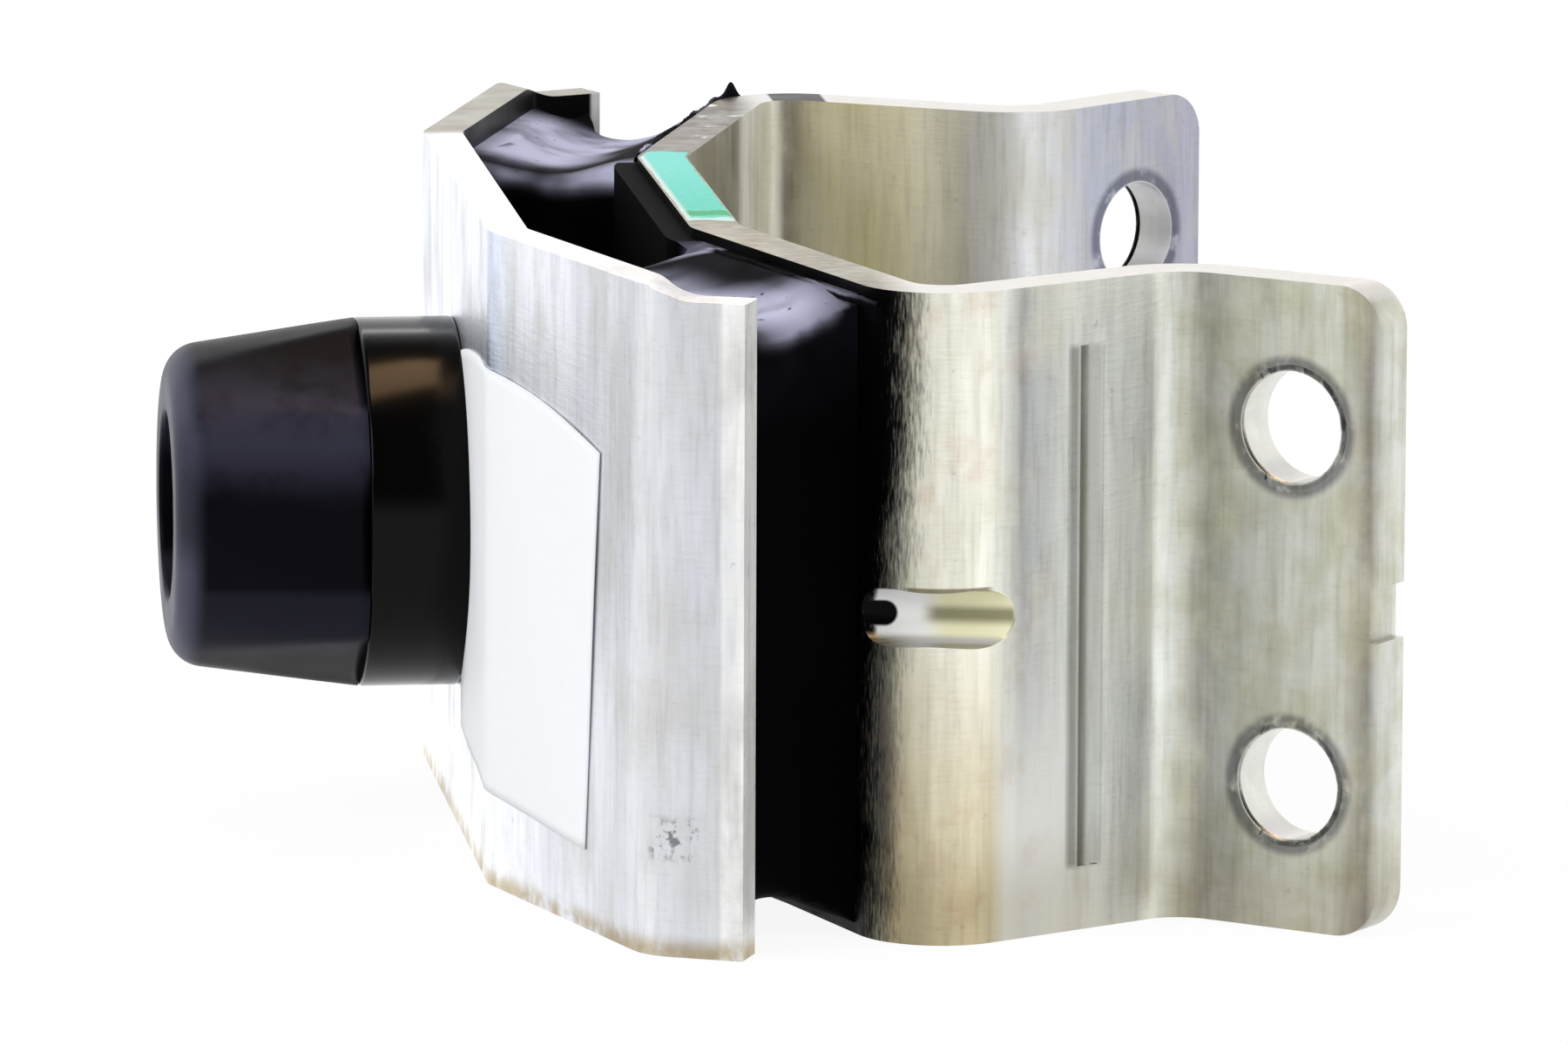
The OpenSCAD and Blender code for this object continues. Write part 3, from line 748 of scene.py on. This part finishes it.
def turned(name, profile, material, sides=160, flatten=None):
    """A solid turned about the X axis: corner (i, j) is profile point i, a pair (distance from
    the web, radius), at angle j. flatten(distance, radius, angle) may shave the radius."""
    points = np.array(profile)
    angle = np.linspace(0, 2 * np.pi, sides, endpoint=False)
    along = np.repeat(points[:, :1], sides, axis=1)
    radius = np.repeat(points[:, 1:], sides, axis=1)
    if flatten:
        radius = flatten(along, radius, angle[None, :])
    verts = np.stack([-along, radius * np.cos(angle), radius * np.sin(angle)], -1)
    return mesh_piece(name, verts, grid_faces(len(points), sides, wrap=True), material)


def rounded(profile, radius):
    """A profile whose inner corners are rounded: each corner c becomes the quadratic curve
    (1 - t)^2 start + 2 t (1 - t) c + t^2 end, whose start and end lie at most radius, and at
    most 0.45 of their stretch, before and after it."""
    points = np.array(profile, float)
    out = [points[0]]
    for before, corner, after in zip(points, points[1:], points[2:]):
        a = before - corner
        b = after - corner
        cut = min(radius, np.linalg.norm(a) * 0.45, np.linalg.norm(b) * 0.45)
        start = corner + a / np.linalg.norm(a) * cut
        end = corner + b / np.linalg.norm(b) * cut
        t = np.linspace(0, 1, 5)[:, None]
        out.extend((1 - t) ** 2 * start + 2 * t * (1 - t) * corner + t ** 2 * end)
    out.append(points[-1])
    return np.array(out)


def refined(profile, step):
    """A profile with extra points so that no stretch is longer than step."""
    out = [profile[0]]
    for a, b in zip(profile, profile[1:]):
        count = max(1, math.ceil(np.linalg.norm(b - a) / step))
        out.extend(a + (b - a) * k / count for k in range(1, count + 1))
    return np.array(out)


def make_spigot(material):
    """Spigot as turned: collar, post, blind hole at the thread's core size, shank and staked
    head."""
    post_end = TIP - MOUTH_DEPTH
    profile = [
        (post_end - THREAD_DEPTH, 0), (post_end - THREAD_DEPTH, THREAD_R), (post_end, THREAD_R),
        (post_end, POST_R), (COLLAR_L, POST_R), (COLLAR_L, COLLAR_R), (0, COLLAR_R), (0, SHANK_R),
        (-OUTER_T, SHANK_R), (-OUTER_T - STAKE_H, STAKE_R), (-OUTER_T - STAKE_H, 0)
    ]
    made = turned("turned_spigot", rounded(profile, 0.5 * MM), material)
    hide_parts("locating_spigot")
    return made


def cone_flats(along, radius, angle):
    """Radius shaved by the flats. A flat's plane lies at a distance from the axis that runs from
    its base to its tip value, and the radius becomes the smooth least of the turned radius r and
    that plane's l: l (1 - g) + r g - blend g (1 - g), with g = 0.5 + 0.5 (l - r) / blend kept
    between 0 and 1. The mouth stays round."""
    share = np.clip((along - COLLAR_L) / CONE_L, 0, 1)
    plane = FLAT_BASE_R + (FLAT_TIP_R - FLAT_BASE_R) * share
    pitch = 2 * np.pi / FLATS
    turn = (angle - np.pi + pitch / 2) % pitch - pitch / 2
    limit = plane / np.cos(turn)
    blend = 0.25 * MM
    share = np.clip(0.5 + 0.5 * (limit - radius) / blend, 0, 1)
    least = limit * (1 - share) + radius * share - blend * share * (1 - share)
    return np.where(radius > MOUTH_R + 1 * MM, least, radius)


def make_cone(material):
    """Cone over the post: tapered side with flats, rounded tip edge, plain mouth."""
    taper = math.atan2(COLLAR_R - CONE_TIP_R, CONE_L - TIP_ROUND)
    round_x = TIP - TIP_ROUND
    round_r = COLLAR_R - (round_x - COLLAR_L) * math.tan(taper) - TIP_ROUND / math.cos(taper)
    arc = [(round_x + TIP_ROUND * math.sin(a), round_r + TIP_ROUND * math.cos(a))
           for a in np.linspace(taper, math.pi / 2, 14)]
    mouth = rounded([(TIP, round_r - 1 * MM), (TIP, MOUTH_R), (TIP - MOUTH_DEPTH, MOUTH_R)],
                    0.5 * MM)
    profile = np.vstack([[(COLLAR_L, POST_R), (COLLAR_L, COLLAR_R)], arc, mouth,
                         [(TIP - MOUTH_DEPTH, POST_R), (COLLAR_L, POST_R)]])
    made = turned("flatted_cone", refined(profile, 1.2 * MM), material, 240, cone_flats)
    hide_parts("nose_cone")
    return made


def fold_path(start, folds):
    """Plan of a folded sheet's outer face as an array of (x, y, nx, ny): straight stretches
    joined by arcs, which sets out along +Y. folds holds (straight length, turn in degrees, bend
    radius), and a positive turn bends the sheet to its right. (nx, ny) points out of the outer
    face, to the left. An arc has a point at least every 2 degrees."""
    rows = []
    corner = np.array(start, float)
    heading = math.pi / 2
    for length, turn, radius in folds:
        ahead = np.array([math.cos(heading), math.sin(heading)])
        for share in np.linspace(0, 1, 12):
            point = corner + share * length * ahead
            rows.append((*point, -math.sin(heading), math.cos(heading)))
        corner = corner + length * ahead
        if turn:
            side = math.copysign(1, turn)
            centre = corner + side * radius * np.array([math.sin(heading), -math.cos(heading)])
            steps = math.ceil(abs(turn) / 2)
            for k in range(1, steps + 1):
                b = heading - math.radians(turn) * k / steps
                point = centre - side * radius * np.array([math.sin(b), -math.cos(b)])
                rows.append((*point, -math.sin(b), math.cos(b)))
            corner = np.array(rows[-1][:2])
            heading -= math.radians(turn)
    rows = np.array(rows)
    keep = np.r_[True, np.linalg.norm(np.diff(rows[:, :2], axis=0), axis=1) > 1e-7]
    return rows[keep]


def along_path(path, s):
    """Points and outward directions of a path at distances s from its start."""
    reach = np.r_[0, np.cumsum(np.linalg.norm(np.diff(path[:, :2], axis=0), axis=1))]
    return np.stack([np.interp(s, reach, path[:, k]) for k in range(4)], -1)


def bend_take(radius, turn):
    """How much of a straight stretch a bend takes up."""
    return radius * math.tan(math.radians(abs(turn)) / 2)


def outer_half(side):
    """Outer face of the outer bracket from the middle of its web to a lip's end, on the side
    where Y has that sign."""
    web_turn = 90 - LEG_ANGLE
    lip_turn = LEG_ANGLE - LIP_ANGLE
    web_take = bend_take(OUTER_BEND_R, web_turn)
    lip_take = bend_take(OUTER_BEND_R, lip_turn)
    path = fold_path((0, 0), [
        (OUTER_HALF_WEB - web_take, web_turn, OUTER_BEND_R),
        (OUTER_LEG - web_take - lip_take, lip_turn, OUTER_BEND_R),
        (LIP - lip_take, 0, 0)])
    return path * np.array([1, side, 1, side])


def inner_half(side):
    """Outer face of the inner bracket from the middle of its web to an ear's end."""
    web_turn = 90 - LEG_ANGLE
    shoulder_turn = LEG_ANGLE - THROAT_ANGLE
    waist_turn = THROAT_ANGLE - EAR_ANGLE
    web_take = bend_take(INNER_CORNER_R, web_turn)
    shoulder_take = bend_take(SHOULDER_R, shoulder_turn)
    waist_take = bend_take(WAIST_R, waist_turn)
    path = fold_path((INNER_X, 0), [
        (INNER_HALF_WEB - web_take, web_turn, INNER_CORNER_R),
        (INNER_LEG - web_take - shoulder_take, shoulder_turn, SHOULDER_R),
        (THROAT - shoulder_take - waist_take, waist_turn, WAIST_R),
        (EAR - waist_take, 0, 0)])
    return path * np.array([1, side, 1, side])


def make_label(material):
    """Blank label stuck on the near leg and round the bend onto the web, turned a little. Its
    corners are (distance past the web's sharp corner, height), and the corner at shares (s, t)
    is their blend, raised by 4 s (1 - s) t times the bow of the upper edge. The paper stands off
    the steel by its thickness and up to 0.1 mm more, in waves of sin^2 (9 s + 3 t)."""
    left_low, left_top = np.array([-25, -21.4]) * MM, np.array([-25, 16.6]) * MM
    right_low, right_top = np.array([23.6, -24.7]) * MM, np.array([27, 14.7]) * MM
    bow = 3.2 * MM
    thick = 0.12 * MM
    rows, cols = 60, 40
    s, t = np.meshgrid(np.linspace(0, 1, rows), np.linspace(0, 1, cols), indexing="ij")
    share = np.stack([s, t], -1)
    low = left_low + (right_low - left_low) * share[..., :1]
    top = left_top + (right_top - left_top) * share[..., :1]
    place = low + (top - low) * share[..., 1:]
    height = place[..., 1] + 4 * s * (1 - s) * t * bow
    face = along_path(outer_half(-1), OUTER_HALF_WEB + place[..., 0])
    lift = thick + 0.1 * MM * np.sin(9 * s + 3 * t) ** 2
    verts = np.stack([face[..., 0] + face[..., 2] * lift, face[..., 1] + face[..., 3] * lift,
                      height], -1)
    made = mesh_piece("blank_label", verts, grid_faces(rows, cols), material)
    wall = made.modifiers.new("paper", "SOLIDIFY")
    wall.thickness = thick
    wall.offset = 0
    return made


def make_paint(material):
    """Paint film on the top edge of the inner web. Point (u, v) of its grid lies at shares u of
    its length and v of its width, the rim wanders with sin 17u and sin 41u, the far end bends
    along the leg, and the film's top lies 0.02 + 0.14 sqrt(d) mm above the steel, where d grows
    from 0 at the rim to 1 within."""
    rows, cols = 60, 14
    near_end, length = -20 * MM, 46.5 * MM
    front, width = 21.25 * MM, 4.55 * MM
    u, v = np.meshgrid(np.linspace(0, 1, rows), np.linspace(0, 1, cols), indexing="ij")
    rim = np.sin(17 * u) * 0.5 + np.sin(41 * u + 1) * 0.3
    y = near_end + length * u + 0.5 * MM * np.sin(5 * v)
    x = front + width * v + 0.12 * MM * rim * (2 * v - 1)
    x = x + 1.1 * MM * np.clip((y - 23 * MM) / (4 * MM), 0, 1)
    dome = np.clip(np.minimum(v, 1 - v) * 8, 0, 1) * np.clip(np.minimum(u, 1 - u) * 30, 0, 1)
    z = INNER_TOP + (0.02 + 0.14 * np.sqrt(dome)) * MM
    verts = np.stack([x, y, z], -1)
    return mesh_piece("marking_paint_film", verts, grid_faces(rows, cols), material)


def make_flash(name, side, reach, gap, level, tall, spike, material):
    """Ragged fin of flash along the inner bracket's outer face, gap away from it. At distance s
    the fin stands from level up by h(s) = tall (0.65 + 0.2 sin 5u + 0.1 sin 13u + 0.05 sin 37u),
    with u in centimetres along the sheet, plus a spike of that height 2 mm before its far end,
    and it thins from 0.5 mm at its foot to 0.1 mm."""
    s = np.linspace(*reach, 200)
    u = s / (10 * MM)
    ends = np.clip(np.minimum(s - reach[0], reach[1] - s) / (2 * MM), 0, 1)
    rise = 0.65 + 0.2 * np.sin(5 * u) + 0.1 * np.sin(13 * u) + 0.05 * np.sin(37 * u)
    high = tall * rise * ends + spike * np.exp(-((s - reach[1] + 2 * MM) / (0.9 * MM)) ** 2)
    face = along_path(inner_half(side), s)
    section = [(gap, -0.5 * MM, 0), (gap + 0.05 * MM, 0, 0.6), (gap + 0.15 * MM, 0, 1),
               (gap + 0.25 * MM, 0, 1), (gap + 0.4 * MM, 0, 0.5), (gap + 0.5 * MM, -0.5 * MM, 0)]
    verts = np.stack([np.stack([face[:, 0] + face[:, 2] * out, face[:, 1] + face[:, 3] * out,
                                level + drop + share * high], -1)
                      for out, drop, share in section], 1)
    return mesh_piece(name, verts, grid_faces(len(s), len(section), wrap=True), material)


def make_lamp(name, place, target, size, watts, colour="ffffff"):
    """A soft area lamp at place, turned to target, with sides of those sizes in metres."""
    lamp = bpy.data.lights.new(name, "AREA")
    lamp.shape = "RECTANGLE"
    lamp.size, lamp.size_y = size
    lamp.energy = watts
    lamp.color = linear(colour)[:3]
    made = bpy.data.objects.new(name, lamp)
    bpy.context.scene.collection.objects.link(made)
    made.location = place
    made.rotation_euler = (Vector(target) - Vector(place)).to_track_quat("-Z", "Y").to_euler()
    return made


def make_floor():
    """Pale table under the object. The camera and mirrors see it as the white backdrop, but for
    a share that keeps the object's shadow, and dull faces get the light of a plain table."""
    reach = 8000 * MM
    verts = np.array([(x, y, FLOOR_Z) for x, y in (
        (-reach, -reach), (reach, -reach), (reach, reach), (-reach, reach))])
    material, tree = new_material("pale_table")
    ray = add(tree, "LightPath").node.outputs
    shown = either(tree, ray["Is Camera Ray"], ray["Is Glossy Ray"], ray["Is Transmission Ray"])
    plain = add(tree, "BsdfDiffuse", {"Color": linear("e8e8ea")})
    strength = add(tree, "Mix", {0: ray["Is Glossy Ray"], 2: TABLE_WHITE, 3: MIRRORED_WHITE})
    glow = add(tree, "Emission", {"Color": linear("ffffff"), "Strength": strength})
    share = times(tree, shown, TABLE_GLOW)
    finish_material(tree, add(tree, "MixShader", {0: share, 1: plain, 2: glow}))
    floor = mesh_piece("pale_table_top", verts, [(0, 1, 2, 3)], material, smooth=False)


def make_world():
    """White backdrop. The metal mirrors it white behind the object and near the table, and
    darker in front and overhead, where the photographer's room is."""
    world = bpy.data.worlds.new("white_backdrop")
    bpy.context.scene.world = world
    world.use_nodes = True
    tree = world.node_tree
    tree.nodes.clear()
    ray = add(tree, "LightPath").node.outputs
    direction = add(tree, "TexCoord", out="Generated")
    direction = add(tree, "SeparateXYZ", {0: direction}).node.outputs
    in_front = times(tree, between(tree, direction[1], 0.15, -0.55),
                     between(tree, direction[2], -0.02, 0.22))
    room = either(tree, in_front, between(tree, direction[2], 0.62, 0.85))
    mirrored = add(tree, "MapRange", {0: room, 1: 0.0, 2: 1.0, 3: MIRRORED_WHITE,
                                      4: MIRRORED_ROOM})
    light = add(tree, "Mix", {0: ray["Is Glossy Ray"], 2: BACKDROP_LIGHT, 3: mirrored})
    strength = add(tree, "Mix", {0: ray["Is Camera Ray"], 2: light, 3: 1.0})
    glow = add(tree, "Background", {"Color": linear("ffffff"), "Strength": strength})
    add(tree, "OutputWorld", {0: glow})


def make_camera():
    """Camera of the photograph, fitted to the brackets' corners: 300 mm lens, 1.316 m away,
    7 degrees left of square to the XZ plane and 10 degrees above the object."""
    turn, rise, roll = math.radians(-7.03), math.radians(10.04), math.radians(0.23)
    distance = 1315.8 * MM
    aside, below = 7.63 * MM, 2.5 * MM
    target = Vector((41 * MM, 0, -0.5 * MM))
    back = Vector((math.sin(turn) * math.cos(rise), -math.cos(turn) * math.cos(rise),
                   math.sin(rise)))
    right = Vector((math.cos(turn), math.sin(turn), 0))
    up = back.cross(right)
    across = math.cos(roll) * right + math.sin(roll) * up
    upward = math.cos(roll) * up - math.sin(roll) * right
    data = bpy.data.cameras.new("camera")
    data.lens = 300
    data.sensor_width = 36
    data.clip_start = 0.05
    data.clip_end = 50
    camera = bpy.data.objects.new("camera", data)
    bpy.context.scene.collection.objects.link(camera)
    place = target - aside * across - below * upward + distance * back
    camera.matrix_world = Matrix.Translation(place) @ Matrix(
        (across, upward, back)).transposed().to_4x4()
    bpy.context.scene.camera = camera


def main():
    """Builds the set and the pieces. Places of lamps are in metres and their powers in watts."""
    make_camera()
    make_world()
    make_floor()
    make_lamp("left_softbox", (-1.2, -0.7, 0.9), (0.03, 0, 0), (0.8, 0.8), 12)
    warm_lamp = make_lamp("warm_overhead_lamp", (0, 0.02, 1.3), (0.02, 0, 0), (0.8, 0.4), 13,
                          "ffd2a0")
    warm_lamp.visible_diffuse = False
    make_lamp("back_strip", (-0.1, 1.1, 0.86), (0, 0, 0), (0.8, 0.1), 2)
    make_lamp("right_softbox", (1.3, -0.9, 0.6), (0.03, 0, 0), (0.7, 0.9), 8)
    rubber = moulded_rubber()
    pieces = [
        (dressed_copy("outer_bracket", "folded_outer_bracket", bluish_zinc(), SOFT_EDGE,
                      reshape=rolled_lip_corner), "blue_zinc"),
        (dressed_copy("inner_bracket", "folded_inner_bracket", yellowish_zinc(), SOFT_EDGE),
         "yellow_zinc"),
        (dressed_copy("rubber_spring", "moulded_spring", rubber, 0, reshape=rounded_spring_rims),
         "spring_rubber"),
        (make_spigot(black_enamel()), "black_enamel"),
        (make_cone(cone_rubber()), "cone_rubber"),
        (make_label(label_paper()), None),
        (make_paint(marking_paint()), None),
        (make_flash("near_leg_flash", -1, (30 * MM, 67 * MM), 0.9 * MM, INNER_TOP - 1.1 * MM,
                    0.4 * MM, 0, rubber), None),
        (make_flash("far_leg_flash", 1, (25 * MM, 70 * MM), 0.1 * MM, INNER_TOP - 0.3 * MM,
                    0.7 * MM, 1.3 * MM, rubber), None)
    ]
    for piece, slot in pieces:
        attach(piece, "root")
    bpy.context.scene.view_settings.view_transform = "Standard"


main()
